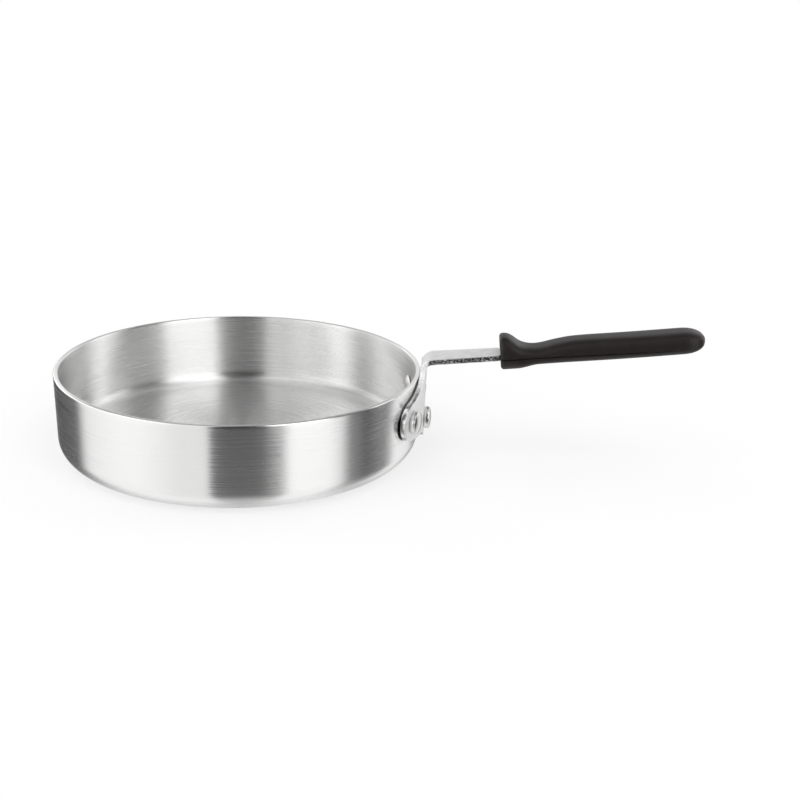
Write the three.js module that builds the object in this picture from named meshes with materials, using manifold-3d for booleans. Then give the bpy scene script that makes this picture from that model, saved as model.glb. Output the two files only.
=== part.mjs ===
// Straight-sided saute pan: a turned aluminium body, a formed steel bracket held by
// three rivets, and a black rubber grip that slips over the bracket's tang.
// Millimetres, +Z up. The origin is the middle of the pan's underside, and the handle runs along +X.
import * as THREE from 'three';
import { mergeVertices } from 'three/addons/utils/BufferGeometryUtils.js';
import Module from 'manifold-3d';

const wasm = await Module();
wasm.setup();

// Pan body
const RIM_RADIUS = 120;
const PAN_HEIGHT = 55.4;
const WALL = 3;
const BASE = 4;
const WALL_LEAN = THREE.MathUtils.degToRad(0.5);
const CORNER_OUTSIDE = 13;
const CORNER_INSIDE = 10;
const RIM_ROUND = 0.9;
const PAN_SEGMENTS = 84;

// Clear space between pieces that touch on the real pan
const FIT = 0.3;

// Rivets: two at the sides of the pad and one lower in the middle
const RIVET_SIDE_ARC = 37;
const RIVET_SIDE_HEIGHT = 34;
const RIVET_LOW_HEIGHT = 24;
const RIVET_SHANK = 3.2;
const RIVET_HEAD = 7.4;
const RIVET_COLLAR = 2.4;
const RIVET_CROWN = 1.9;
const RIVET_DOME = 7.2;
const RIVET_DOME_HEIGHT = 2.8;
const RIVET_LIP = 0.4;
const RIVET_FULLNESS = 0.84;
const RIVET_SEGMENTS = 22;

// Bracket: one strip that starts as the pad on the wall, turns over and becomes strap and tang
const STRIP = 3.5;
const PAD_GAP = 0.9;
const LOBE = 13;
const PAD_BOTTOM = 11.6;
const PAD_DROP = 4.8;
const PAD_DROP_REACH = 16;
const WING_SLOPE = 0.125;
const NECK_TOP = 62;
const NECK_FLARE = 2.5;
const BEND_START = 59.6;
const BEND_RADIUS = 8;
const CURL_FADE = 6;
const STRAP_RISE = THREE.MathUtils.degToRad(6.5);
const STRAP_HALF = 11.2;
const STRAP_HALF_OUT = 10;
const STRAP_LENGTH = 43.4;
const TANG_HALF = 8;
const TANG_LENGTH = 90;
const TANG_SHOULDER = 0.4;
const TANG_ROUND = THREE.MathUtils.degToRad(80);

// Facets of the bracket: columns across the pad and strap, rows along the strip
const FLARE_COLUMNS = 9;
const LOBE_COLUMNS = 6;
const STRAP_COLUMNS = 6;
const PAD_ROWS = 9;
const BEND_ROWS = 9;
const STRAP_ROWS = 3;
const TANG_ROWS = 4;
const TANG_END_ROWS = 5;

// Grip: heights above and below the tang's middle, along its length from the front face
const GRIP_LENGTH = 131.5;
const GRIP_TAIL = 15;
const GRIP_EDGE = 1.3;
const GRIP_SQUARENESS = 3.2;
const GRIP_TAIL_ROUND = 2.3;
const GRIP_TOP = [
  [0, 13.0], [5, 12.8], [9, 10.5], [13, 7.2], [19, 5.0], [26, 4.9],
  [38, 7.2], [52, 8.6], [90, 8.9], [GRIP_LENGTH, 9.8],
];
const GRIP_BOTTOM = [
  [0, -8.8], [11, -8.5], [17, -7.5], [23, -6.3], [34, -6.1], [70, -5.8], [GRIP_LENGTH, -4.5],
];
const GRIP_HALF_WIDTH = [[0, 13.2], [12, 13.0], [24, 12.2], [50, 12.4], [95, 13.2], [GRIP_LENGTH, 12.8]];
const GRIP_SIDES = 40;
const GRIP_EDGE_RINGS = 3;
const GRIP_BODY_RINGS = 20;
const GRIP_RING_SPREAD = 1.4;
const GRIP_TAIL_RINGS = 8;

const ALUMINIUM = { color: 0xc8c8c5, roughness: 0.34, metalness: 1.0 };
const RIVET_METAL = { color: 0xd2d1cd, roughness: 0.4, metalness: 1.0 };
const PLATED_STEEL = { color: 0xbdbdba, roughness: 0.45, metalness: 1.0 };
const BLACK_RUBBER = { color: 0x1b1a1a, roughness: 0.78, metalness: 0.0 };

// Even steps that end at 1
const steps = (count) => Array.from({ length: count }, (_, i) => (i + 1) / count);

// Radius of the outside of the wall at a height
const wallRadius = (z) => RIM_RADIUS - (PAN_HEIGHT - z) * Math.tan(WALL_LEAN);

// Signed volume of a closed geometry, positive where its faces point out
function signedVolume(geometry) {
  const position = geometry.getAttribute('position');
  const corner = [0, 1, 2].map(() => new THREE.Vector3());
  let volume = 0;
  for (let i = 0; i < geometry.index.count; i += 3) {
    corner.forEach((point, k) => point.fromBufferAttribute(position, geometry.index.getX(i + k)));
    volume += corner[0].dot(corner[1].cross(corner[2])) / 6;
  }
  return volume;
}

// A closed geometry with shared vertices, no empty triangles and faces that point out
function closed(source) {
  const bare = source.clone();
  bare.deleteAttribute('normal');
  bare.deleteAttribute('uv');
  const geometry = mergeVertices(bare, 1e-4);
  const kept = [];
  for (let i = 0; i < geometry.index.count; i += 3) {
    const [a, b, c] = [0, 1, 2].map((k) => geometry.index.getX(i + k));
    if (a !== b && b !== c && c !== a) kept.push(a, b, c);
  }
  geometry.setIndex(kept);
  if (signedVolume(geometry) < 0) geometry.setIndex(kept.reverse());
  return geometry;
}

function toSolid(source) {
  const geometry = closed(source);
  return new wasm.Manifold(new wasm.Mesh({
    numProp: 3,
    vertProperties: new Float32Array(geometry.getAttribute('position').array),
    triVerts: new Uint32Array(geometry.index.array),
  }));
}

function fromSolid(solid) {
  const mesh = solid.getMesh();
  const geometry = new THREE.BufferGeometry();
  geometry.setAttribute('position', new THREE.BufferAttribute(mesh.vertProperties, 3));
  geometry.setIndex(new THREE.BufferAttribute(mesh.triVerts, 1));
  geometry.computeVertexNormals();
  return geometry;
}

const cut = (geometry, tools) =>
  fromSolid(tools.reduce((solid, tool) => solid.subtract(toSolid(tool)), toSolid(geometry)));

function piece(name, geometry, finish) {
  const mesh = new THREE.Mesh(geometry, new THREE.MeshStandardMaterial(finish));
  mesh.name = name;
  return mesh;
}

// A profile of radius and height turned about the Z axis
function turned(profile, segments) {
  return new THREE.LatheGeometry(profile, segments).rotateX(Math.PI / 2);
}

const RIVETS = [
  { name: 'rivet_near', angle: -RIVET_SIDE_ARC / RIM_RADIUS, height: RIVET_SIDE_HEIGHT },
  { name: 'rivet_far', angle: RIVET_SIDE_ARC / RIM_RADIUS, height: RIVET_SIDE_HEIGHT },
  { name: 'rivet_lower', angle: 0, height: RIVET_LOW_HEIGHT },
];

// The round hole that each rivet goes through, from inside the wall to outside the pad
function rivetHole({ angle, height }) {
  const length = 4 * (WALL + STRIP);
  return new THREE.CylinderGeometry(RIVET_SHANK + FIT, RIVET_SHANK + FIT, length, RIVET_SEGMENTS)
    .rotateZ(-Math.PI / 2)
    .translate(wallRadius(height), 0, height)
    .rotateZ(angle);
}

// Pan body: flat base, round lower corner, slightly leaning wall and a plain rim with eased edges
function panGeometry() {
  const inner = (z) => wallRadius(z) - WALL;
  const outsideCentre = wallRadius(CORNER_OUTSIDE) - CORNER_OUTSIDE;
  const insideCentre = inner(BASE + CORNER_INSIDE) - CORNER_INSIDE;
  const path = new THREE.Path();
  path.moveTo(0, 0);
  path.lineTo(outsideCentre, 0);
  path.absarc(outsideCentre, CORNER_OUTSIDE, CORNER_OUTSIDE, -Math.PI / 2, -WALL_LEAN, false);
  path.lineTo(wallRadius(PAN_HEIGHT - RIM_ROUND), PAN_HEIGHT - RIM_ROUND);
  path.quadraticCurveTo(RIM_RADIUS, PAN_HEIGHT, RIM_RADIUS - RIM_ROUND, PAN_HEIGHT);
  path.lineTo(RIM_RADIUS - WALL + RIM_ROUND, PAN_HEIGHT);
  path.quadraticCurveTo(RIM_RADIUS - WALL, PAN_HEIGHT, inner(PAN_HEIGHT - RIM_ROUND), PAN_HEIGHT - RIM_ROUND);
  path.lineTo(inner(BASE + CORNER_INSIDE), BASE + CORNER_INSIDE);
  path.absarc(insideCentre, BASE + CORNER_INSIDE, CORNER_INSIDE, -WALL_LEAN, -Math.PI / 2, true);
  path.lineTo(0, BASE);
  return cut(turned(path.getPoints(4), PAN_SEGMENTS), RIVETS.map(rivetHole));
}

// The strip's centre line in the XZ plane: up the wall, over the bend and out along the handle.
// Returns the point on the face that lies on the wall, and the strip's tilt from upright.
const BEND_TURN = Math.PI / 2 - STRAP_RISE - WALL_LEAN;
const BEND_ARC = BEND_RADIUS * BEND_TURN;
function stripLine(s) {
  const upright = Math.min(s, BEND_START);
  const turn = THREE.MathUtils.clamp((s - BEND_START) / BEND_RADIUS, 0, BEND_TURN);
  const along = Math.max(0, s - BEND_START - BEND_ARC);
  const tilt = WALL_LEAN + turn;
  const bendOut = BEND_RADIUS * (Math.cos(WALL_LEAN) - Math.cos(tilt));
  const bendUp = BEND_RADIUS * (Math.sin(tilt) - Math.sin(WALL_LEAN));
  const x = wallRadius(upright) + PAD_GAP + bendOut + along * Math.sin(tilt);
  const z = upright + bendUp + along * Math.cos(tilt);
  return { x, z, tilt };
}

// A point of the strip, across its width and into its thickness. The pad is curled to the wall,
// and the curl fades out over the bend.
function stripPoint(across, s, depth) {
  const { x, z, tilt } = stripLine(s);
  const fade = 1 - THREE.MathUtils.smoothstep(s, BEND_START - CURL_FADE, BEND_START + BEND_ARC);
  const curl = Math.max(fade, 1e-4) / (RIM_RADIUS + PAD_GAP);
  const turn = across * curl;
  const offset = depth * Math.cos(turn) - (1 - Math.cos(turn)) / curl;
  const side = Math.sin(turn) / curl + depth * Math.sin(turn);
  return [x + offset * Math.cos(tilt), side, z - offset * Math.sin(tilt)];
}

// Half the height of the round lobe at a distance from its rivet
const lobeReach = (distance) => Math.sqrt(Math.max(0, LOBE ** 2 - distance ** 2));

// Lower and upper edge of the flat pad at a distance from its middle
function padBottom(across) {
  const out = Math.abs(across);
  if (out > RIVET_SIDE_ARC) return RIVET_SIDE_HEIGHT - lobeReach(out - RIVET_SIDE_ARC);
  const wave = Math.min(out / PAD_DROP_REACH, 1) * Math.PI;
  return PAD_BOTTOM + PAD_DROP + WING_SLOPE * out - PAD_DROP * (1 + Math.cos(wave)) / 2;
}

function padTop(across) {
  const out = Math.abs(across);
  if (out > RIVET_SIDE_ARC) return RIVET_SIDE_HEIGHT + lobeReach(out - RIVET_SIDE_ARC);
  const flare = Math.max(0, out - STRAP_HALF) / (RIVET_SIDE_ARC - STRAP_HALF);
  return NECK_TOP - (NECK_TOP - RIVET_SIDE_HEIGHT - LOBE) * flare ** (1 / NECK_FLARE);
}

// Bracket: a grid of columns across the pad, whose middle columns run on as the strap and tang
function bracketGeometry() {
  const flare = steps(FLARE_COLUMNS).map((t) => STRAP_HALF + (RIVET_SIDE_ARC - STRAP_HALF) * t ** NECK_FLARE);
  const tip = steps(LOBE_COLUMNS).map((t) => RIVET_SIDE_ARC + LOBE * Math.sin(t * Math.PI / 2));
  const half = [...flare, ...tip];
  const middle = [0, ...steps(STRAP_COLUMNS)].map((t) => (2 * t - 1) * STRAP_HALF);
  const columns = [...half.map((v) => -v).reverse(), ...middle, ...half];
  const firstMiddle = half.length;
  const lastMiddle = firstMiddle + middle.length - 1;

  const bendEnd = BEND_START + BEND_ARC;
  const shoulder = bendEnd + STRAP_LENGTH;
  const tangEnd = shoulder + TANG_SHOULDER + TANG_LENGTH;
  const strapRows = [
    ...steps(BEND_ROWS).map((t) => [NECK_TOP + (bendEnd - NECK_TOP) * t, STRAP_HALF]),
    ...steps(STRAP_ROWS).map((t) =>
      [bendEnd + STRAP_LENGTH * t, THREE.MathUtils.lerp(STRAP_HALF, STRAP_HALF_OUT, t)]),
    [shoulder + TANG_SHOULDER, TANG_HALF],
    ...steps(TANG_ROWS).map((t) => [shoulder + TANG_SHOULDER + (TANG_LENGTH - TANG_HALF) * t, TANG_HALF]),
    ...steps(TANG_END_ROWS).map((t) => t * TANG_ROUND).map((turn) =>
      [tangEnd - TANG_HALF * (1 - Math.sin(turn)), TANG_HALF * Math.cos(turn)]),
  ];

  const points = [];
  const faces = [];
  const corner = (across, s) => {
    points.push(stripPoint(across, s, 0), stripPoint(across, s, STRIP));
    return points.length - 2;
  };
  const quad = (a, b, c, d) => faces.push(a, b, c, a, c, d);
  const sheet = (a, b, c, d) => {
    quad(a, b, c, d);
    quad(d + 1, c + 1, b + 1, a + 1);
  };
  const edge = (a, b) => quad(b, b + 1, a + 1, a);

  const pad = columns.map((across) => Array.from({ length: PAD_ROWS + 1 }, (_, row) =>
    corner(across, THREE.MathUtils.lerp(padBottom(across), padTop(across), row / PAD_ROWS))));
  for (let c = 0; c + 1 < columns.length; c += 1) {
    for (let row = 0; row < PAD_ROWS; row += 1) {
      sheet(pad[c][row], pad[c + 1][row], pad[c + 1][row + 1], pad[c][row + 1]);
    }
    edge(pad[c + 1][0], pad[c][0]);
    const onStrap = c >= firstMiddle && c < lastMiddle;
    if (!onStrap) edge(pad[c][PAD_ROWS], pad[c + 1][PAD_ROWS]);
  }

  let last = pad.slice(firstMiddle, lastMiddle + 1).map((column) => column[PAD_ROWS]);
  for (const [s, width] of strapRows) {
    const next = middle.map((across) => corner(across * width / STRAP_HALF, s));
    for (let c = 0; c + 1 < next.length; c += 1) sheet(last[c], last[c + 1], next[c + 1], next[c]);
    edge(last[0], next[0]);
    edge(next[next.length - 1], last[last.length - 1]);
    last = next;
  }
  for (let c = 0; c + 1 < last.length; c += 1) edge(last[c], last[c + 1]);

  const geometry = new THREE.BufferGeometry();
  geometry.setAttribute('position', new THREE.Float32BufferAttribute(points.flat(), 3));
  geometry.setIndex(faces);
  return cut(geometry, RIVETS.map(rivetHole));
}

// Rivet: an outer head with a short collar and a low crown, the shank, and the domed head inside the pan
function rivetGeometry({ angle, height }) {
  const seatOut = wallRadius(height) + PAD_GAP + STRIP + FIT;
  const inside = wallRadius(height) - WALL;
  const curve = inside - Math.sqrt(inside ** 2 - RIVET_DOME ** 2);
  const seatIn = inside - FIT - curve;
  const path = new THREE.Path();
  const dome = seatIn - RIVET_DOME_HEIGHT;
  path.moveTo(0, dome);
  path.quadraticCurveTo(RIVET_DOME * RIVET_FULLNESS, dome, RIVET_DOME, seatIn - RIVET_LIP);
  path.lineTo(RIVET_DOME, seatIn);
  path.lineTo(RIVET_SHANK, seatIn);
  path.lineTo(RIVET_SHANK, seatOut);
  path.lineTo(RIVET_HEAD, seatOut);
  path.lineTo(RIVET_HEAD, seatOut + RIVET_COLLAR);
  const crown = seatOut + RIVET_COLLAR + RIVET_CROWN;
  path.quadraticCurveTo(RIVET_HEAD * RIVET_FULLNESS, crown, 0, crown);
  return closed(turned(path.getPoints(5), RIVET_SEGMENTS))
    .rotateY(Math.PI / 2)
    .translate(0, 0, height)
    .rotateZ(angle);
}

// Smooth curve through outline points, read at a distance along the grip
function outline(stations) {
  const curve = new THREE.SplineCurve(stations.map(([s, value]) => new THREE.Vector2(s, value)));
  const samples = curve.getPoints(200);
  return (s) => {
    const next = Math.max(1, samples.findIndex((point) => point.x >= s));
    const [a, b] = [samples[next - 1], samples[next]];
    return THREE.MathUtils.lerp(a.y, b.y, THREE.MathUtils.clamp((s - a.x) / (b.x - a.x), 0, 1));
  };
}

// Grip: rounded sections lofted along X, with a thumb hollow on top, a finger guard below, a
// round tail and a blind slot for the tang
function gripGeometry() {
  const top = outline(GRIP_TOP);
  const bottom = outline(GRIP_BOTTOM);
  const halfWidth = outline(GRIP_HALF_WIDTH);
  const tailStart = GRIP_LENGTH - GRIP_TAIL;
  const quarter = (t) => t * Math.PI / 2;
  const front = [0, ...steps(GRIP_EDGE_RINGS)].map((t) => ({
    s: GRIP_EDGE * (1 - Math.cos(quarter(t))),
    inset: GRIP_EDGE * (1 - Math.sin(quarter(t))),
    close: 1,
  }));
  const body = steps(GRIP_BODY_RINGS).map((t) => ({
    s: GRIP_EDGE + (tailStart - GRIP_EDGE) * t ** GRIP_RING_SPREAD,
    inset: 0,
    close: 1,
  }));
  const tail = steps(GRIP_TAIL_RINGS).slice(0, -1).map((t) => ({
    s: tailStart + GRIP_TAIL * Math.sin(quarter(t)),
    inset: 0,
    close: (1 - Math.sin(quarter(t)) ** GRIP_TAIL_ROUND) ** (1 / GRIP_TAIL_ROUND),
  }));
  const rings = [...front, ...body, ...tail];

  const power = (value) => Math.sign(value) * Math.abs(value) ** (2 / GRIP_SQUARENESS);
  const points = [];
  const faces = [];
  rings.forEach(({ s, inset, close }) => {
    const middle = (top(s) + bottom(s)) / 2;
    const tall = ((top(s) - bottom(s)) / 2 - inset) * close;
    const wide = (halfWidth(s) - inset) * close;
    for (let i = 0; i < GRIP_SIDES; i += 1) {
      const turn = 2 * Math.PI * i / GRIP_SIDES;
      points.push([s, wide * power(Math.cos(turn)), middle + tall * power(Math.sin(turn))]);
    }
  });
  const capFront = points.push([0, 0, (top(0) + bottom(0)) / 2]) - 1;
  const capTail = points.push([GRIP_LENGTH, 0, (top(GRIP_LENGTH) + bottom(GRIP_LENGTH)) / 2]) - 1;
  for (let i = 0; i < GRIP_SIDES; i += 1) {
    const next = (i + 1) % GRIP_SIDES;
    for (let r = 0; r + 1 < rings.length; r += 1) {
      const [a, b] = [r * GRIP_SIDES, (r + 1) * GRIP_SIDES];
      faces.push(a + i, a + next, b + next, a + i, b + next, b + i);
    }
    const end = (rings.length - 1) * GRIP_SIDES;
    faces.push(capFront, next, i, capTail, end + i, end + next);
  }
  const geometry = new THREE.BufferGeometry();
  geometry.setAttribute('position', new THREE.Float32BufferAttribute(points.flat(), 3));
  geometry.setIndex(faces);

  const depth = TANG_LENGTH + 2 * FIT;
  const slot = new THREE.BoxGeometry(2 * depth, 2 * (TANG_HALF + FIT), STRIP + 2 * FIT);
  return cut(geometry, [slot]);
}

// The grip's front face stands against the strap's shoulders, square to the strap
function placeGrip(mesh) {
  const shoulder = BEND_START + BEND_ARC + STRAP_LENGTH + TANG_SHOULDER;
  const [x, , z] = stripPoint(0, shoulder + FIT, STRIP / 2);
  mesh.position.set(x, 0, z);
  mesh.rotation.y = -STRAP_RISE;
  return mesh;
}

const pan = new THREE.Group();
pan.name = 'saute_pan';
pan.add(piece('pan_body', panGeometry(), ALUMINIUM));
pan.add(piece('handle_bracket', bracketGeometry(), PLATED_STEEL));
RIVETS.forEach((rivet) => pan.add(piece(rivet.name, rivetGeometry(rivet), RIVET_METAL)));
pan.add(placeGrip(piece('grip_sleeve', gripGeometry(), BLACK_RUBBER)));

export default pan;
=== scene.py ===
from math import cos, pi, radians, sin, sqrt, tan
from typing import NamedTuple

import bmesh
import bpy
from bpy.props import FloatProperty, FloatVectorProperty, IntProperty, PointerProperty
from mathutils import Matrix, Vector


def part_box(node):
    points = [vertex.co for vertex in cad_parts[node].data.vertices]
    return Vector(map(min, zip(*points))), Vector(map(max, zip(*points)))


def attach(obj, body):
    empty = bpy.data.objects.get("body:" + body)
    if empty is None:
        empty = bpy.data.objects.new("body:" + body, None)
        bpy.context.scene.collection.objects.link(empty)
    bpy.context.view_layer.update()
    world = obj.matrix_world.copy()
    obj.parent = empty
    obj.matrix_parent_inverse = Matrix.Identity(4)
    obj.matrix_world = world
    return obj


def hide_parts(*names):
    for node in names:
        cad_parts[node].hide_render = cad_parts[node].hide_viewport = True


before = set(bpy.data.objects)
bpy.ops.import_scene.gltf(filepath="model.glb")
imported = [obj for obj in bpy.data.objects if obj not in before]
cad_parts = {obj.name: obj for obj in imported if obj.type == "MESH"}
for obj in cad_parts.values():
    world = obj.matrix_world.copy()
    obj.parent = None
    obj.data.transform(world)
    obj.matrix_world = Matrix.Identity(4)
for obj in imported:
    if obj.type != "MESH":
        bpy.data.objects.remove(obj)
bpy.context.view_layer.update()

bl_info = {
    "name": "Saute Pan",
    "version": (1, 0, 0),
    "blender": (4, 5, 0),
    "location": "View3D > Sidebar > Saute Pan",
    "description": "Models a riveted saute pan with its finishes, and the stage it stands on",
    "category": "Add Mesh",
}

PAN_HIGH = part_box("pan_body")[1]
MM = 0.001

# Size of the seed that a drawn line grows from, and the distance within which two points are one
SEED = 1e-4
SAME = 1e-5

BLACK = (0.0, 0.0, 0.0, 1.0)
WHITE = (1.0, 1.0, 1.0, 1.0)


# Settings that a user would change


def setting_kind(make, **options):
    """A function that makes settings of one kind, from a name, a description and a default."""
    def setting(name, description, default):
        return make(name=name, description=description, default=default, **options)

    return setting


# Lengths are in metres, angles in radians, colours in linear light and counts in facets
length = setting_kind(FloatProperty, unit="LENGTH", precision=5)
angle = setting_kind(FloatProperty, subtype="ANGLE")
share = setting_kind(FloatProperty, subtype="FACTOR", min=0, max=1)
number = setting_kind(FloatProperty)
focal_length = setting_kind(FloatProperty, unit="CAMERA")
count = setting_kind(IntProperty, min=2)
colour = setting_kind(FloatVectorProperty, subtype="COLOR", min=0, max=1)


class PanSizes(bpy.types.PropertyGroup):
    """Sizes of the pan's body."""

    rim_radius: length("Rim radius", "Outside of the rim", PAN_HIGH.x)
    height: length("Height", "From the underside to the rim", PAN_HIGH.z)
    wall: length("Wall", "Thickness of the wall", 3 * MM)
    base: length("Base", "Thickness of the base", 4 * MM)
    lean: angle("Lean", "Lean of the wall from upright", radians(0.5))
    corner_outside: length("Outer corner", "Radius between underside and wall", 13 * MM)
    corner_inside: length("Inner corner", "Radius between base and wall", 10 * MM)
    rim_round: length("Rim round", "Radius on the rim's edges", 0.9 * MM)
    segments: count("Segments", "Facets round the pan", 192)

    def wall_radius(self, height):
        """Outside radius of the wall at a height."""
        return self.rim_radius - (self.height - height) * tan(self.lean)


class RivetSizes(bpy.types.PropertyGroup):
    """Sizes and places of the rivets."""

    side_arc: length("Side distance", "From the mid-plane to a side rivet, round the wall", 37 * MM)
    side_height: length("Side height", "Height of the side rivets", 34 * MM)
    low_height: length("Lower height", "Height of the lower rivet", 24 * MM)
    shank: length("Shank", "Radius of the shank", 3.2 * MM)
    head: length("Head", "Radius of the outer head", 7.4 * MM)
    collar: length("Collar", "Height of the outer head's upright side", 2.8 * MM)
    bulge: length("Bulge", "How far the outer head's side swells out", 0.22 * MM)
    crown: length("Crown", "Height of the outer head's low dome", 1.5 * MM)
    shoulder: length("Shoulder", "Round between the outer head's side and its dome", 0.7 * MM)
    dome: length("Dome", "Radius of the inner head", 7.2 * MM)
    dome_height: length("Dome height", "Height of the inner head", 2.8 * MM)
    lip: length("Lip", "Upright edge of the inner head", 0.4 * MM)
    fullness: share("Fullness", "How full the heads' domes are", 0.5)
    fit: length("Fit", "Clear space round the shank and under the heads", 0.3 * MM)
    segments: count("Segments", "Facets round a rivet", 72)


class BracketSizes(bpy.types.PropertyGroup):
    """Sizes of the formed handle bracket."""

    strip: length("Strip", "Thickness of the strip", 3.5 * MM)
    pad_gap: length("Pad gap", "Clear space between pad and wall", 0.9 * MM)
    lobe: length("Lobe", "Radius of the pad round a side rivet", 13 * MM)
    pad_bottom: length("Pad bottom", "Height of the pad's lowest point", 11.6 * MM)
    pad_drop: length("Pad drop", "How far the pad drops in its middle", 4.8 * MM)
    drop_reach: length("Drop reach", "Half the width of the drop", 16 * MM)
    wing_slope: number("Wing slope", "Rise of the pad's lower edge towards the sides", 0.125)
    neck_top: length("Neck top", "Height where the neck is as narrow as the strap", 62 * MM)
    neck_flare: number("Neck flare", "How quickly the neck widens into the pad", 2.5)
    bend_start: length("Bend start", "Height where the strip starts to turn over", 59.6 * MM)
    bend_radius: length("Bend radius", "Outside radius of the bend", 8 * MM)
    curl_fade: length("Curl fade", "Length below the bend where the pad's curl fades out", 1 * MM)
    strap_rise: angle("Strap rise", "Rise of the strap", radians(6.5))
    strap_half: length("Strap half width", "Half the strap's width at the bend", 11.2 * MM)
    strap_half_out: length("Strap end half width", "Half the strap's width at the grip", 10 * MM)
    strap_length: length("Strap length", "From the bend to the grip", 43.4 * MM)
    tang_half: length("Tang half width", "Half the tang's width", 8 * MM)
    tang_length: length("Tang length", "Length inside the grip", 90 * MM)
    tang_shoulder: length("Tang shoulder", "Length of the step from strap to tang", 0.4 * MM)
    edge_ease: length("Edge ease", "Radius on the strip's edges", 0.4 * MM)

    def bend_turn(self, lean):
        """Angle of the bend from the leaning wall to the rising strap."""
        return pi / 2 - self.strap_rise - lean

    def shoulder(self, lean):
        """Distance along the strip to the shoulders that stop the grip."""
        return self.bend_start + self.bend_radius * self.bend_turn(lean) + self.strap_length


class GripSizes(bpy.types.PropertyGroup):
    """Sizes of the rubber grip."""

    length: length("Length", "From the front face to the tail", 131.5 * MM)
    tail: length("Tail", "Length of the round tail", 15 * MM)
    edge: length("Edge", "Radius on the front edge", 2.0 * MM)
    squareness: number("Squareness", "How square the sections are, 2 for an ellipse", 3.2)
    tail_round: number("Tail round", "How round the tail is, 2 for an ellipse", 2.3)
    seam_drop: length("Seam drop", "Mould seam below the tang's middle", 0.6 * MM)
    seam_width: length("Seam width", "Width of the mould seam", 0.8 * MM)
    seam_depth: length("Seam depth", "Depth of the mould seam", 0.7 * MM)
    sides: count("Sides", "Facets round the grip", 72)


class FinishColours(bpy.types.PropertyGroup):
    """Colours of the finishes."""

    aluminium: colour("Brushed aluminium", "Pan body", (0.91, 0.908, 0.904))
    rivet: colour("Rivet aluminium", "Rivet heads", (0.77, 0.765, 0.755))
    steel: colour("Plated steel", "Faces of the bracket", (0.83, 0.83, 0.835))
    sheared: colour("Sheared steel", "Cut edges of the bracket", (0.87, 0.87, 0.87))
    # Dark colour of the painted shade in the crevice behind the bracket's pad, also used for dark specks
    # in the painted highlight on the neck's cut edge
    shade_and_specks: colour("Residue", "Dark film behind the bracket's pad", (0.06, 0.06, 0.06))
    # The grip's near-black rubber colour, with a slight warmth that is painted warm reflected light
    rubber: colour("Black rubber", "Grip", (0.0085, 0.0064, 0.006))


class StageSettings(bpy.types.PropertyGroup):
    """Camera, floor and light."""

    distance: length("Camera distance", "From the pan's axis, level", 676.8 * MM)
    height: length("Camera height", "Above the floor", 268.2 * MM)
    around: angle("Camera place", "Turn round the pan from square to the handle", radians(12))
    yaw: angle("Camera yaw", "Turn of the view to the left of square", radians(2.88))
    pitch: angle("Camera pitch", "Fall of the view", radians(19.38))
    roll: angle("Camera roll", "Tilt of the picture", radians(2.24))
    lens: focal_length("Lens", "Focal length on a 36 mm sensor", 47.14)
    floor: colour("Floor", "Plain pale floor", (0.35, 0.35, 0.35))
    floor_glow: number("Floor glow", "Light of the floor's own, which lightens the shadows on it", 0.63)
    backdrop: number("Backdrop", "Brightness behind the floor", 1.0)
    top_light: number("Top light", "Strength of the soft light from above", 1.2)


class SautePan(bpy.types.PropertyGroup):
    """All settings of the pan."""

    pan: PointerProperty(type=PanSizes)
    rivets: PointerProperty(type=RivetSizes)
    bracket: PointerProperty(type=BracketSizes)
    grip: PointerProperty(type=GripSizes)
    finish: PointerProperty(type=FinishColours)
    stage: PointerProperty(type=StageSettings)


# Grip outlines: heights above and below the tang's middle and half widths, in millimetres,
# each at a distance from the front face
GRIP_TOP = (
    (0, 13.0), (5, 12.8), (9, 10.5), (13, 7.2), (19, 5.0), (26, 4.9),
    (38, 7.2), (52, 8.6), (90, 8.9), (131.5, 9.8),
)
GRIP_BOTTOM = ((0, -8.8), (11, -8.5), (17, -7.5), (23, -6.3), (34, -6.1), (70, -5.8), (131.5, -4.5))
GRIP_HALF_WIDTH = ((0, 13.2), (12, 13.0), (24, 12.2), (50, 12.4), (95, 13.2), (131.5, 12.8))


# Node trees


def math_operator(operation, swapped=False):
    """An operator for wires, which adds a Math node."""
    def operator(wire, other):
        values = (other, wire) if swapped else (wire, other)
        return wire.graph.math(operation, *values)

    return operator


class Wire:
    """An output socket of a node tree, with arithmetic that adds Math nodes."""

    def __init__(self, graph, socket):
        self.graph = graph
        self.socket = socket

    def __getitem__(self, key):
        return Wire(self.graph, self.socket.node.outputs[key])

    __add__ = math_operator("ADD")
    __radd__ = math_operator("ADD", swapped=True)
    __sub__ = math_operator("SUBTRACT")
    __rsub__ = math_operator("SUBTRACT", swapped=True)
    __mul__ = math_operator("MULTIPLY")
    __rmul__ = math_operator("MULTIPLY", swapped=True)
    __truediv__ = math_operator("DIVIDE")
    __pow__ = math_operator("POWER")


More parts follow.
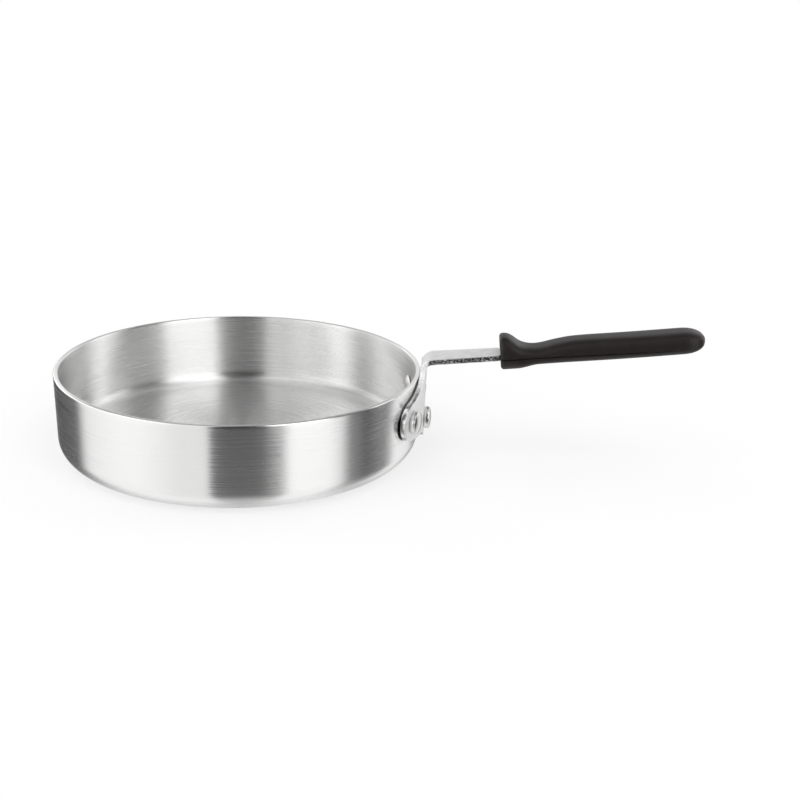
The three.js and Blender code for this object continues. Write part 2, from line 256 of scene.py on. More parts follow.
class Graph:
    """The node tree of a material or a world, started empty."""

    def __init__(self, owner):
        self.owner = owner
        owner.use_nodes = True
        self.tree = owner.node_tree
        self.tree.nodes.clear()

    def node(self, kind, sockets=None, **settings):
        """Add a node with its settings, and values or wires for its sockets. Gives its first output."""
        made = self.tree.nodes.new(kind)
        for name, value in settings.items():
            setattr(made, name, value)
        for name, value in (sockets or {}).items():
            if isinstance(value, Wire):
                self.tree.links.new(value.socket, made.inputs[name])
            else:
                made.inputs[name].default_value = value
        return Wire(self, made.outputs[0]) if made.outputs else None

    def mix(self, factor, first, second):
        """A colour between two colours."""
        return self.node("ShaderNodeMix", {0: factor, 6: first, 7: second}, data_type="RGBA")[2]

    def math(self, operation, *values):
        """Numbers through a Math node."""
        return self.node("ShaderNodeMath", dict(enumerate(values)), operation=operation)

    def vector(self, operation, sockets):
        """Vectors through a Vector Math node."""
        return self.node("ShaderNodeVectorMath", sockets, operation=operation)

    def joined(self, x, y, z):
        """A vector from three numbers."""
        return self.node("ShaderNodeCombineXYZ", {"X": x, "Y": y, "Z": z})

    def split(self, vector):
        """The three numbers of a vector."""
        parts = self.node("ShaderNodeSeparateXYZ", {"Vector": vector})
        return parts["X"], parts["Y"], parts["Z"]

    def noise(self, place, scale, detail=2, roughness=0.5):
        """Soft noise around a half."""
        sockets = {"Vector": place, "Scale": scale, "Detail": detail, "Roughness": roughness}
        return self.node("ShaderNodeTexNoise", sockets)

    def ramp(self, value, low, high):
        """Goes smoothly from 0 at low to 1 at high."""
        sockets = {"Value": value, "From Min": low, "From Max": high}
        return self.node("ShaderNodeMapRange", sockets, interpolation_type="SMOOTHSTEP")

    def mask(self, value, start, border):
        """Goes from 0 to 1 across a border, which is two distances from a start."""
        return self.ramp(value, start + border[0], start + border[1])

    def bump(self, height, distance, **sockets):
        """Normal of a surface with fine relief."""
        return self.node("ShaderNodeBump", {"Height": height, "Distance": distance, **sockets})

    def surface(self, sockets):
        """Close a material with a Principled shader. Gives the material."""
        shader = self.node("ShaderNodeBsdfPrincipled", sockets)
        self.node("ShaderNodeOutputMaterial", {"Surface": shader})
        return self.owner


def solid(tone, factor=1.0):
    """A colour setting as a node's colour, made lighter or darker."""
    return tuple(min(1.0, channel * factor) for channel in tone) + (1.0,)


# Finishes

# Brushing: length of the streaks in radians round the pan and their width, the share of the fine ones,
# and how far each kind tilts the surface
FINE_STREAKS = (0.6, 0.38 * MM)
BROAD_STREAKS = (0.9, 0.75 * MM)
FINE_SHARE = 0.75
FINE_TILT = 0.04
BROAD_TILT = 0.01

# How much duller the pan is on its base, and how much painted shade darkens its inner corner
BASE_DULL = 0.12
CORNER_PAINTED_SHADE = 0.17

# Borders in the finishes, as two distances from what they lie beside: the flat of the base, the rim's
# radius, the wall's inside, the inner corner's top and foot, the pad's back, the rim's height, and the
# outside of the bend
BASE_BORDER = (4 * MM, -4 * MM)
OUTSIDE_BORDER = (-2.2 * MM, -1.4 * MM)
INSIDE_BORDER = (0.4 * MM, 0)
CORNER_TOP = (0, -3.5 * MM)
CORNER_FOOT = (3 * MM, 6 * MM)
# Borders of the painted shade on the pad's back, in the crevice by the wall below the rim
CREVICE_SHADE_BORDER = (0.2 * MM, 0)
CREVICE_SHADE_TOP = (-12 * MM, -20 * MM)
# Borders of the painted highlight on the neck's cut edge, near and above the rim's height and inside the
# bend
NECK_HIGHLIGHT_FOOT = (-8 * MM, -2 * MM)
NECK_HIGHLIGHT_BORDER = (-1.5 * MM, -3.5 * MM)
TORN_BORDER = (-2 * MM, 4 * MM)

AXIS_CORE = 0.1 * MM


def start_finish(name):
    """The node tree of a new material, and the place on the piece."""
    graph = Graph(bpy.data.materials.new(name))
    return graph, graph.node("ShaderNodeTexCoord")["Object"]


def from_axis(x, y):
    """Distance from the pan's axis, kept off nought by a tiny core."""
    return (x * x + y * y + AXIS_CORE ** 2) ** 0.5


def varied(graph, part, tone, low, high):
    """A colour setting times a number that goes from low to high."""
    return graph.mix(part, solid(tone, low), solid(tone, high))


def brushed_aluminium(finish, pan):
    """Metal brushed round the pan's axis in fine streaks, duller on the base, with painted shade in the
    inner corner.
    """
    graph, place = start_finish("brushed_aluminium")
    x, y, z = graph.split(place)
    radius = from_axis(x, y)
    east, north = x / radius, y / radius
    across = z + radius

    def streaks(length_round, width):
        """Noise drawn out round the axis."""
        drawn_out = graph.joined(east / length_round, north / length_round, across / width)
        return graph.noise(drawn_out, scale=1.0, detail=3, roughness=0.6)

    fine = streaks(*FINE_STREAKS)
    broad = streaks(*BROAD_STREAKS)
    mixed = fine * FINE_SHARE + broad * (1 - FINE_SHARE)
    along = graph.joined(north * -1, east, 0.0)
    tilt = (fine - 0.5) * FINE_TILT + (broad - 0.5) * BROAD_TILT
    tilted = graph.vector("SCALE", {0: along, "Scale": tilt})
    normal = graph.vector("ADD", {0: graph.node("ShaderNodeNewGeometry")["Normal"], 1: tilted})
    normal = graph.vector("NORMALIZE", {0: normal})
    shade = graph.ramp(mixed, low=0.32, high=0.68)
    tone = varied(graph, shade, finish.aluminium, low=0.98, high=1.015)
    base = graph.mask(radius, pan.rim_radius - pan.corner_outside, BASE_BORDER)
    outer = graph.mask(radius, pan.rim_radius, OUTSIDE_BORDER)
    within = graph.mask(radius, pan.rim_radius - pan.wall, INSIDE_BORDER)
    # Painted shade: the colour darkens towards black in the inner corner between the wall's inside and the
    # base
    corner = graph.mask(z, pan.base + pan.corner_inside, CORNER_TOP)
    corner = corner * graph.mask(z, pan.base, CORNER_FOOT) * within
    return graph.surface({
        # Base colour duller on the base, and darkened by painted shade in the inner corner
        "Base Color": graph.mix(corner * CORNER_PAINTED_SHADE + base * BASE_DULL, tone, BLACK),
        "Metallic": 1.0 - base * BASE_DULL,
        "Roughness": 0.33 - outer * 0.05 - shade * 0.08,
        "Anisotropic": 1.0,
        "Anisotropic Rotation": 0.25,
        "Normal": graph.bump(mixed, 0.003 * MM, Normal=normal),
    })


def with_crevice_shade(graph, place, settings, tone):
    """A colour, darkened with painted shade where the pad's back lies close to the wall, below the rim."""
    pan, bracket = settings.pan, settings.bracket
    x, y, z = graph.split(place)
    # Painted shade: the pad's back darkens where it lies close to the wall, below the rim
    close = graph.mask(from_axis(x, y), pan.rim_radius + bracket.pad_gap, CREVICE_SHADE_BORDER)
    crevice_shade = close * graph.mask(z, pan.height, CREVICE_SHADE_TOP)
    return graph.mix(crevice_shade, tone, solid(settings.finish.shade_and_specks))


def plated_steel(settings):
    """Dull plated faces with a faint cloudiness and fine pits."""
    graph, place = start_finish("plated_steel")
    cloud = graph.noise(place, scale=220, detail=4, roughness=0.6)
    grain = graph.noise(place, scale=2600)
    shade = graph.ramp(cloud, low=0.3, high=0.7)
    tone = varied(graph, shade, settings.finish.steel, low=0.93, high=1.05)
    return graph.surface({
        # Painted shade in the crevice behind the pad, over the plated tone
        "Base Color": with_crevice_shade(graph, place, settings, tone),
        "Metallic": 0.6,
        "Roughness": 0.40 + grain * 0.10,
        "Normal": graph.bump(grain * 0.7 + cloud * 0.3, 0.03 * MM),
    })


def sheared_steel(settings):
    """Cut edge of the strip: bright and lumpy, most torn on the strap, and lighter with dark specks at the
    bend, where the lightness is a painted highlight.
    """
    finish = settings.finish
    graph, place = start_finish("sheared_steel")
    tear = graph.noise(place, scale=1600, detail=2, roughness=0.6)
    patch = graph.noise(place, scale=260)
    lump = graph.ramp(tear, low=0.58, high=0.68)
    speck = graph.ramp(tear, low=0.56, high=0.64)
    bend = settings.pan.rim_radius + settings.bracket.bend_radius
    x, _, z = graph.split(place)
    torn = graph.mask(x, bend, TORN_BORDER)
    # Painted highlight: the neck's cut edge at the bend is lighter and less metallic, so it shows white
    # whatever it faces, with dark specks
    pale = graph.mask(x, bend, NECK_HIGHLIGHT_BORDER) * graph.mask(z, settings.pan.height, NECK_HIGHLIGHT_FOOT)
    tone = varied(graph, graph.ramp(patch, low=0.4, high=0.6), finish.sheared, low=0.8, high=1.08)
    tone = graph.mix(pale, tone, solid(finish.sheared, 1.15))
    tone = graph.mix(speck * pale * 0.7, tone, solid(finish.shade_and_specks))
    return graph.surface({
        # Painted shade in the crevice behind the pad, over the edge's tone
        "Base Color": with_crevice_shade(graph, place, settings, tone),
        "Metallic": 1.0 - pale * 0.75,
        "Roughness": 0.12 + patch * 0.10 + pale * 0.10,
        "Normal": graph.bump(lump * (torn * 0.6 + pale * 0.8 + 0.2) + patch * 0.2, 0.10 * MM),
    })


def rivet_aluminium(finish, pan):
    """Bright pressed aluminium, faintly cloudy and grained, duller on the heads inside the pan."""
    graph, place = start_finish("rivet_aluminium")
    cloud = graph.noise(place, scale=350, detail=3, roughness=0.6)
    grain = graph.noise(place, scale=2400)
    x, y, _ = graph.split(place)
    inside = graph.ramp(from_axis(x, y), pan.rim_radius, pan.rim_radius - pan.wall)
    tone = varied(graph, graph.ramp(cloud, low=0.3, high=0.7), finish.rivet, low=0.92, high=1.05)
    return graph.surface({
        "Base Color": graph.mix(inside * 0.10, tone, BLACK),
        "Metallic": 1.0,
        "Roughness": 0.18 + grain * 0.10 + inside * 0.14,
        "Normal": graph.bump(grain * 0.6 + cloud * 0.4, 0.02 * MM),
    })


def black_rubber(finish, rise):
    """Matt black rubber with a fine moulded grain, and a faint warmth in its colour and sheen that is
    painted warm reflected light.
    """
    graph, place = start_finish("black_rubber")
    place = graph.node("ShaderNodeMapping", {"Vector": place, "Rotation": (0.0, rise, 0.0)})
    grain = graph.noise(place, scale=1300, detail=3, roughness=0.6)
    cloud = graph.noise(place, scale=130, detail=3, roughness=0.6)
    shade = graph.ramp(cloud * 0.6 + grain * 0.4, low=0.3, high=0.7)
    return graph.surface({
        "Base Color": varied(graph, shade, finish.rubber, low=0.8, high=1.25),
        "Roughness": 0.36 + grain * 0.12,
        "Specular IOR Level": 0.38,
        # Painted warm reflected light: the sheen is tinted warm
        "Specular Tint": (1.0, 0.95, 0.94, 1.0),
        "Normal": graph.bump(grain, 0.12 * MM),
    })


def pale_floor(stage):
    """Matt pale studio floor with a trace of unevenness."""
    graph, place = start_finish("pale_floor")
    cloud = graph.noise(place, scale=0.8)
    return graph.surface({
        "Base Color": varied(graph, cloud, stage.floor, low=0.99, high=1.01),
        "Roughness": 0.9,
        "Specular IOR Level": 0.0,
        "Emission Color": WHITE,
        "Emission Strength": stage.floor_glow,
    })


# Modelling by hand


def put_down():
    """Leave edit mode and deselect every object."""
    if bpy.context.object and bpy.context.object.mode != "OBJECT":
        bpy.ops.object.mode_set(mode="OBJECT")
    bpy.ops.object.select_all(action="DESELECT")


def take_up(piece):
    """Make a piece the only one that is selected, and the active one."""
    put_down()
    piece.select_set(True)
    bpy.context.view_layer.objects.active = piece


def pick_all():
    """Select the whole of the open mesh."""
    bpy.ops.mesh.select_all(action="SELECT")


def face_outward():
    """Turn all faces of the open mesh to the same side, the outer one where the mesh is closed."""
    pick_all()
    bpy.ops.mesh.normals_make_consistent(inside=False)


def draw_line(name, points):
    """Start a piece as a line, extruded from one vertex to the next, and stay in edit mode."""
    put_down()
    bpy.ops.mesh.primitive_plane_add(size=SEED, location=points[0])
    piece = bpy.context.object
    piece.name = name
    piece.data.name = name
    bpy.ops.object.transform_apply(location=True, rotation=True, scale=True)
    bpy.ops.object.mode_set(mode="EDIT")
    bpy.ops.mesh.select_mode(type="VERT")
    pick_all()
    bpy.ops.mesh.merge(type="CENTER")
    for here, there in zip(points, points[1:]):
        bpy.ops.mesh.extrude_region_move(TRANSFORM_OT_translate={"value": there - here})
    return piece


def spin_line(centre, axis, segments):
    """Spin the drawn line into a closed body and leave edit mode."""
    pick_all()
    bpy.ops.mesh.spin(steps=segments, angle=2 * pi, center=centre, axis=axis)
    pick_all()
    bpy.ops.mesh.remove_doubles(threshold=SAME)
    face_outward()
    put_down()


def pick(piece, wanted):
    """Select the vertices of the open mesh whose place passes a test, and nothing else."""
    bpy.ops.mesh.select_all(action="DESELECT")
    mesh = bmesh.from_edit_mesh(piece.data)
    for vertex in mesh.verts:
        vertex.select = wanted(vertex.co)
    mesh.select_flush_mode()
    bmesh.update_edit_mesh(piece.data)


def turn(amount, axis, centre):
    """Turn what is selected by the right-hand rule about an axis through a centre."""
    bpy.ops.transform.rotate(value=-amount, orient_axis=axis, orient_type="GLOBAL", center_override=centre)


def apply_modifier(piece, kind, settings):
    """Add a modifier, set it and apply it."""
    modifier = piece.modifiers.new(kind.title(), kind)
    for name, value in settings.items():
        setattr(modifier, name, value)
    take_up(piece)
    bpy.ops.object.modifier_apply(modifier=modifier.name)


def cut_away(piece, cutter):
    """Cut a cutter's shape out of a piece, and delete the cutter."""
    apply_modifier(piece, "BOOLEAN", {"operation": "DIFFERENCE", "solver": "EXACT", "object": cutter})
    bpy.data.objects.remove(cutter)


def smooth(piece, limit):
    """Smooth shading, with edges over a limit in degrees left crisp."""
    take_up(piece)
    bpy.ops.object.shade_smooth_by_angle(angle=radians(limit))


def fit_out(piece, body, node):
    """Tie a finished piece to its body, and hide the solid that it stands for."""
    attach(piece, body)
    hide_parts(node)


def straight(start, end, steps):
    """Even points of a straight stretch, without its first one."""
    return [start.lerp(end, (i + 1) / steps) for i in range(steps)]


def arc(centre, radius, first, last, steps):
    """Even points of a round stretch in the XZ plane, without its first one."""
    turns = [first + (last - first) * (i + 1) / steps for i in range(steps)]
    return [centre + radius * Vector((cos(a), 0, sin(a))) for a in turns]


def swell(start, pull, end, steps):
    """Points of a curve that leaves start towards pull and reaches end from it, without its first one."""
    parts = [(i + 1) / steps for i in range(steps)]
    return [start.lerp(pull, part).lerp(pull.lerp(end, part), part) for part in parts]


def point(x, z):
    """A point of a drawn profile, in the XZ plane."""
    return Vector((x, 0, z))


class Rivet(NamedTuple):
    """One rivet: its piece, the solid it stands for, its turn round the pan and its height."""

    name: str
    node: str
    turn: float
    height: float


def rivet_places(pan, rivets):
    """The three rivets: two at the pad's sides and one lower in the middle."""
    side = rivets.side_arc / pan.rim_radius
    return (
        Rivet("lower_rivet", "rivet_lower", 0.0, rivets.low_height),
        Rivet("near_rivet", "rivet_near", -side, rivets.side_height),
        Rivet("far_rivet", "rivet_far", side, rivets.side_height),
    )


def bore_rivet_holes(piece, settings):
    """Bore the holes that the rivets go through."""
    pan, rivets = settings.pan, settings.rivets
    for rivet in rivet_places(pan, rivets):
        reach = pan.wall_radius(rivet.height)
        put_down()
        bpy.ops.mesh.primitive_cylinder_add(
            vertices=rivets.segments,
            radius=rivets.shank + rivets.fit,
            depth=4 * (pan.wall + settings.bracket.strip),
            location=(reach * cos(rivet.turn), reach * sin(rivet.turn), rivet.height),
            rotation=(0, pi / 2, rivet.turn),
        )
        cut_away(piece, bpy.context.object)


# Pieces

# Rise of a rivet head's shoulder, as a share of its width
SHOULDER_RISE = 0.7


def pan_profile(pan):
    """Half outline of the pan, from the middle of its underside over the rim to the middle inside."""
    def inner(height):
        return pan.wall_radius(height) - pan.wall

    foot = point(pan.wall_radius(pan.corner_outside) - pan.corner_outside, pan.corner_outside)
    well_height = pan.base + pan.corner_inside
    well = point(inner(well_height) - pan.corner_inside, well_height)
    shoulder = pan.height - pan.rim_round
    outer_rim = point(pan.wall_radius(shoulder) - pan.rim_round, shoulder)
    inner_rim = point(inner(shoulder) + pan.rim_round, shoulder)

    line = [point(0, 0)]
    line += straight(line[-1], point(foot.x, 0), steps=14)
    line += arc(foot, pan.corner_outside, -pi / 2, -pan.lean, steps=24)
    line += straight(line[-1], point(pan.wall_radius(shoulder), shoulder), steps=14)
    line += arc(outer_rim, pan.rim_round, -pan.lean, pi / 2, steps=6)
    line += straight(line[-1], point(inner_rim.x, pan.height), steps=2)
    line += arc(inner_rim, pan.rim_round, pi / 2, pi - pan.lean, steps=6)
    line += straight(line[-1], point(inner(well_height), well_height), steps=14)
    line += arc(well, pan.corner_inside, -pan.lean, -pi / 2, steps=20)
    line += straight(line[-1], point(0, pan.base), steps=14)
    return line


def rivet_profile(settings, height):
    """Half outline of a rivet from the top of its inner dome to the top of its outer crown."""
    pan, rivets, bracket = settings.pan, settings.rivets, settings.bracket
    inside = pan.wall_radius(height) - pan.wall
    sag = inside - sqrt(inside ** 2 - rivets.dome ** 2)
    seat_in = inside - rivets.fit - sag
    seat_out = pan.wall_radius(height) + bracket.pad_gap + bracket.strip + rivets.fit
    top_in = seat_in - rivets.dome_height
    top_out = seat_out + rivets.collar + rivets.crown
    corner = seat_out + rivets.collar
    waist = rivets.head - rivets.bulge
    brow = waist - rivets.shoulder

    def at(x, out):
        return point(x, height + out)

    line = [at(top_in, 0)]
    pull = at(top_in, rivets.fullness * rivets.dome)
    line += swell(line[-1], pull, at(seat_in - rivets.lip, rivets.dome), steps=12)
    line += [at(seat_in, rivets.dome), at(seat_in, rivets.shank)]
    line += [at(seat_out, rivets.shank), at(seat_out, waist)]
    pull = at(seat_out + rivets.collar / 2, rivets.head + rivets.bulge)
    line += swell(line[-1], pull, at(corner, waist), steps=12)
    pull = at(corner + rivets.shoulder / 2, waist - rivets.shoulder / 4)
    line += swell(line[-1], pull, at(corner + SHOULDER_RISE * rivets.shoulder, brow), steps=6)
    line += swell(line[-1], at(top_out, rivets.fullness * brow), at(top_out, 0), steps=14)
    return line


# Facets along the stretches of the bracket's outline, and rows of its bend
PAD_EDGE_STEPS = 24
LOBE_STEPS = 9
FLARE_STEPS = 16
TANG_END_STEPS = 12
BEND_STEPS = 24
FADE_STEPS = 4

# Creases of the pad: numbers of the flare's points that they go through, and those nearer to the middle,
# as shares of the strap's half width. Where the curl ends, a row is scaled flat.
FLARE_LINES = (5, 8, 10, 12, 14, 15, 16)
MIDDLE_LINES = (0.0, 0.32, 0.64)
FLAT_SCALE = 1e-6


def flare_at(settings, part):
    """A point of the neck's edge, from the strap at 0 to the top of the lobe at 1."""
    bracket, rivets = settings.bracket, settings.rivets
    across = bracket.strap_half + (rivets.side_arc - bracket.strap_half) * part ** bracket.neck_flare
    fall = bracket.neck_top - rivets.side_height - bracket.lobe
    return Vector((0, across, bracket.neck_top - fall * part))


def pad_bottom(settings, across):
    """Lower edge of the pad between the lobes, at a distance from its middle."""
    bracket = settings.bracket
    wave = min(across / bracket.drop_reach, 1) * pi
    drop = bracket.pad_drop * (1 - cos(wave)) / 2
    return Vector((0, across, bracket.pad_bottom + drop + bracket.wing_slope * across))


def half_blank(settings):
    """Right half of the flat blank, from the middle of the pad's lower edge to the tang's end."""
    bracket, rivets, lean = settings.bracket, settings.rivets, settings.pan.lean
    shoulder = bracket.shoulder(lean)
    tang_end = shoulder + bracket.tang_shoulder + bracket.tang_length
    lobe = Vector((0, rivets.side_arc, rivets.side_height))
    line = [pad_bottom(settings, rivets.side_arc * i / PAD_EDGE_STEPS) for i in range(PAD_EDGE_STEPS)]
    for i in range(2 * LOBE_STEPS + 1):
        a = pi / 2 * (i / LOBE_STEPS - 1)
        line.append(lobe + bracket.lobe * Vector((0, cos(a), sin(a))))
    line += [flare_at(settings, i / FLARE_STEPS) for i in reversed(range(FLARE_STEPS))]
    line.append(Vector((0, bracket.strap_half, shoulder - bracket.strap_length)))
    line.append(Vector((0, bracket.strap_half_out, shoulder)))
    line.append(Vector((0, bracket.tang_half, shoulder + bracket.tang_shoulder)))
    for i in range(TANG_END_STEPS):
        a = pi / 2 * i / TANG_END_STEPS
        line.append(Vector((0, bracket.tang_half * cos(a), tang_end - bracket.tang_half * (1 - sin(a)))))
    line.append(Vector((0, 0, tang_end)))
    return line


def curl_lines(settings):
    """Distances from the middle at which the pad is creased to curl it round the wall."""
    bracket, rivets = settings.bracket, settings.rivets
    middle = [bracket.strap_half * part for part in MIDDLE_LINES]
    wing = [flare_at(settings, i / FLARE_STEPS).y for i in FLARE_LINES]
    tip = [rivets.side_arc + bracket.lobe * sin(pi / 2 * i / LOBE_STEPS) for i in range(1, LOBE_STEPS)]
    return middle + wing + tip


def crease(place, normal):
    """Cut an edge line across the open mesh."""
    pick_all()
    bpy.ops.mesh.bisect(plane_co=place, plane_no=normal, threshold=SAME / 10)


def form_bracket(settings):
    """Bend the flat blank: curl the pad round the wall, keep the strap flat, and turn it over."""
    pan, bracket = settings.pan, settings.bracket
    right = half_blank(settings)
    left = [Vector((0, -p.y, p.z)) for p in reversed(right[1:-1])]
    piece = draw_line("formed_bracket", right + left)
    pick_all()
    bpy.ops.mesh.edge_face_add()

    columns = curl_lines(settings)
    bend_turn = bracket.bend_turn(pan.lean)
    bend_length = bracket.bend_radius * bend_turn
    fade_start = bracket.bend_start - bracket.curl_fade
    bend_end = bracket.bend_start + bend_length
    bend_rows = [bracket.bend_start + bend_length * i / BEND_STEPS for i in range(BEND_STEPS + 1)]
    fade_rows = [fade_start + bracket.curl_fade * i / FADE_STEPS for i in range(FADE_STEPS)]
    for column in columns:
        for side in (1, -1) if column else (1,):
            crease((0, side * column, 0), (0, 1, 0))
    rows = fade_rows + bend_rows
    for row in rows:
        crease((0, 0, row), (0, 0, 1))

    curl = 1 / (pan.rim_radius + bracket.pad_gap)
    tip = settings.rivets.side_arc + bracket.lobe
    for i in reversed(range(len(columns))):
        before = columns[i - 1] if i else -columns[1]
        after = columns[i + 1] if i + 1 < len(columns) else tip
        share_here = (after - before) / 2 * curl * (1 if i else 0.5)
        for side in (1, -1):
            pick(piece, lambda co: side * co.y > columns[i] + SAME)
            turn(side * share_here, "Z", (0, side * columns[i], 0))

    def fade(row):
        part = min(1, max(0, (row - fade_start) / (bend_end - fade_start)))
        return 1 - part * part * (3 - 2 * part)

    for i, row in enumerate(rows):
        low = (rows[i - 1] + row) / 2 if i else fade_start - SAME
        high = (rows[i + 1] + row) / 2 if i + 1 < len(rows) else 1
        pick(piece, lambda co: low < co.z <= high)
        bpy.ops.transform.resize(value=(max(fade(row), FLAT_SCALE), 1, 1), center_override=(0, 0, row))

    for i in reversed(range(len(bend_rows))):
        inside = 0 < i < BEND_STEPS
        pick(piece, lambda co: co.z > bend_rows[i] + SAME)
        turn(bend_turn / BEND_STEPS * (1 if inside else 0.5), "Y", (0, 0, bend_rows[i]))
    pick_all()
    turn(pan.lean, "Y", (0, 0, 0))
    bpy.ops.transform.translate(value=(pan.wall_radius(0) + bracket.pad_gap, 0, 0))
    face_from_pan(piece)
    put_down()
    return piece


def face_from_pan(piece):
    """Turn the open sheet's faces so that the pad's look away from the pan."""
    face_outward()
    mesh = bmesh.from_edit_mesh(piece.data)
    lowest = min(mesh.faces, key=lambda face: face.calc_center_median().z)
    if lowest.normal.x < 0:
        bpy.ops.mesh.flip_normals()


# Straight stretches between two outline stations, and sections along the grip's stretches
CURVE_STEPS = 60
EDGE_RINGS = 5
BODY_RINGS = 64
TAIL_RINGS = 14


def outline(stations):
    """Smooth curve through outline stations: a function of the distance in metres."""
    places = [Vector(station) * MM for station in stations]
    padded = [places[0], *places, places[-1]]
    samples = []
    for before, here, there, after in zip(padded, padded[1:], padded[2:], padded[3:]):
        for i in range(CURVE_STEPS):
            t = i / CURVE_STEPS
            leave, arrive = (there - before) / 2, (after - here) / 2
            samples.append(
                (2 * t ** 3 - 3 * t ** 2 + 1) * here + (t ** 3 - 2 * t ** 2 + t) * leave
                + (3 * t ** 2 - 2 * t ** 3) * there + (t ** 3 - t ** 2) * arrive
            )
    samples.append(places[-1])

    def read(distance):
        for low, high in zip(samples, samples[1:]):
            if high.x >= distance:
                return low.y + (high.y - low.y) * (distance - low.x) / (high.x - low.x)
        return samples[-1].y

    return read


class Ring(NamedTuple):
    """One section of the grip: place along it, middle height, and half sizes."""

    place: float
    middle: float
    wide: float
    tall: float


def grip_rings(grip):
    """Sections of the grip from the eased front edge to the end of the round tail."""
    top, bottom, half_width = outline(GRIP_TOP), outline(GRIP_BOTTOM), outline(GRIP_HALF_WIDTH)
    tail_start = grip.length - grip.tail
    stations = []
    for i in range(EDGE_RINGS + 1):
        a = pi / 2 * i / EDGE_RINGS
        stations.append((grip.edge * (1 - cos(a)), grip.edge * (1 - sin(a)), 1.0))
    for i in range(1, BODY_RINGS + 1):
        stations.append((grip.edge + (tail_start - grip.edge) * i / BODY_RINGS, 0.0, 1.0))
    for i in range(1, TAIL_RINGS):
        reach = sin(pi / 2 * i / TAIL_RINGS)
        close = (1 - reach ** grip.tail_round) ** (1 / grip.tail_round)
        stations.append((tail_start + grip.tail * reach, 0.0, close))
    rings = []
    for place, inset, close in stations:
        high, low = top(place), bottom(place)
        wide = (half_width(place) - inset) * close
        rings.append(Ring(place, (high + low) / 2, wide, ((high - low) / 2 - inset) * close))
    return rings


def loft_grip(grip):
    """Draw the first section, then extrude and resize it from section to section."""
    rings = grip_rings(grip)
    first = rings[0]

    def rounded(value):
        return (1 if value > 0 else -1) * abs(value) ** (2 / grip.squareness)

    section = []
    for i in range(grip.sides + 1):
        a = 2 * pi * i / grip.sides
        height = first.middle + first.tall * rounded(sin(a))
        section.append(Vector((0, first.wide * rounded(cos(a)), height)))
    piece = draw_line("rubber_grip", section)
    pick_all()
    bpy.ops.mesh.remove_doubles(threshold=SAME)
    for here, there in zip(rings, rings[1:]):
        step = Vector((there.place - here.place, 0, there.middle - here.middle))
        bpy.ops.mesh.extrude_region_move(TRANSFORM_OT_translate={"value": step})
        size = (1, there.wide / here.wide, there.tall / here.tall)
        bpy.ops.transform.resize(value=size, center_override=(there.place, 0, there.middle))
    bpy.ops.mesh.edge_face_add()
    bpy.ops.mesh.poke()
    face_outward()
    return piece


# Shares of the seam's depth, from its main stretch through the steps in which it fades out
SEAM_FADES = (1.0, 0.75, 0.5, 0.25)


def press_seam(piece, grip):
    """Press the mould's fine seam into the open grip's sides, fading out before the tail."""
    end = grip.length - grip.tail
    fade = grip.tail / 2
    pick(piece, lambda co: co.x < end + SAME)
    bpy.ops.mesh.bisect(plane_co=(0, 0, -grip.seam_drop), plane_no=(0, 0, 1), threshold=SAME / 10)
    bpy.ops.mesh.bevel(offset=grip.seam_width / 2, segments=2, affect="EDGES")
    for i, part in enumerate(SEAM_FADES):
        high = end - fade * (len(SEAM_FADES) - 1 - i)
        low = high - fade if i else SAME
        pick(piece, lambda co: abs(co.z + grip.seam_drop) < SAME and low < co.x <= high - SAME)
        bpy.ops.transform.shrink_fatten(value=-grip.seam_depth * part)


def close_front(piece):
    """Close the open grip with a flat front face."""
    pick(piece, lambda co: co.x < SAME)
    bpy.ops.mesh.edge_face_add()
    face_outward()


def place_grip(settings):
    """Front of the grip on the tang's middle line: its place in the XZ plane."""
    pan, bracket = settings.pan, settings.bracket
    tilt = pan.lean + bracket.bend_turn(pan.lean)
    along = bracket.strap_length + bracket.tang_shoulder + settings.rivets.fit
    start = point(pan.wall_radius(bracket.bend_start) + bracket.pad_gap, bracket.bend_start)
    bend = bracket.bend_radius * point(cos(pan.lean) - cos(tilt), sin(tilt) - sin(pan.lean))
    out = along * point(sin(tilt), cos(tilt))
    down = bracket.strip / 2 * point(cos(tilt), -sin(tilt))
    return start + bend + out + down


class SAUTE_OT_body(bpy.types.Operator):
    """Turn the pan's body and brush it"""

    bl_idname = "saute_pan.body"
    bl_label = "Pan Body"

    def execute(self, context):
        settings = context.scene.saute_pan
        piece = draw_line("brushed_pan", pan_profile(settings.pan))
        spin_line((0, 0, 0), (0, 0, 1), settings.pan.segments)
        bore_rivet_holes(piece, settings)
        smooth(piece, limit=40)
        piece.data.materials.append(brushed_aluminium(settings.finish, settings.pan))
        fit_out(piece, "pan", "pan_body")
        return {"FINISHED"}


class SAUTE_OT_bracket(bpy.types.Operator):
    """Form the handle bracket from its flat blank"""

    bl_idname = "saute_pan.bracket"
    bl_label = "Handle Bracket"

    def execute(self, context):
        settings = context.scene.saute_pan
        bracket = settings.bracket
        piece = form_bracket(settings)
        piece.data.materials.append(plated_steel(settings))
        piece.data.materials.append(sheared_steel(settings))
        apply_modifier(piece, "SOLIDIFY", {
            "thickness": bracket.strip,
            "offset": 1.0,
            "use_even_offset": True,
            "material_offset_rim": 1,
        })
        apply_modifier(piece, "BEVEL", {
            "width": bracket.edge_ease,
            "segments": 4,
            "limit_method": "ANGLE",
            "angle_limit": radians(40),
            "use_clamp_overlap": False,
            "material": 1,
        })
        bore_rivet_holes(piece, settings)
        smooth(piece, limit=35)
        fit_out(piece, "pan", "handle_bracket")
        return {"FINISHED"}


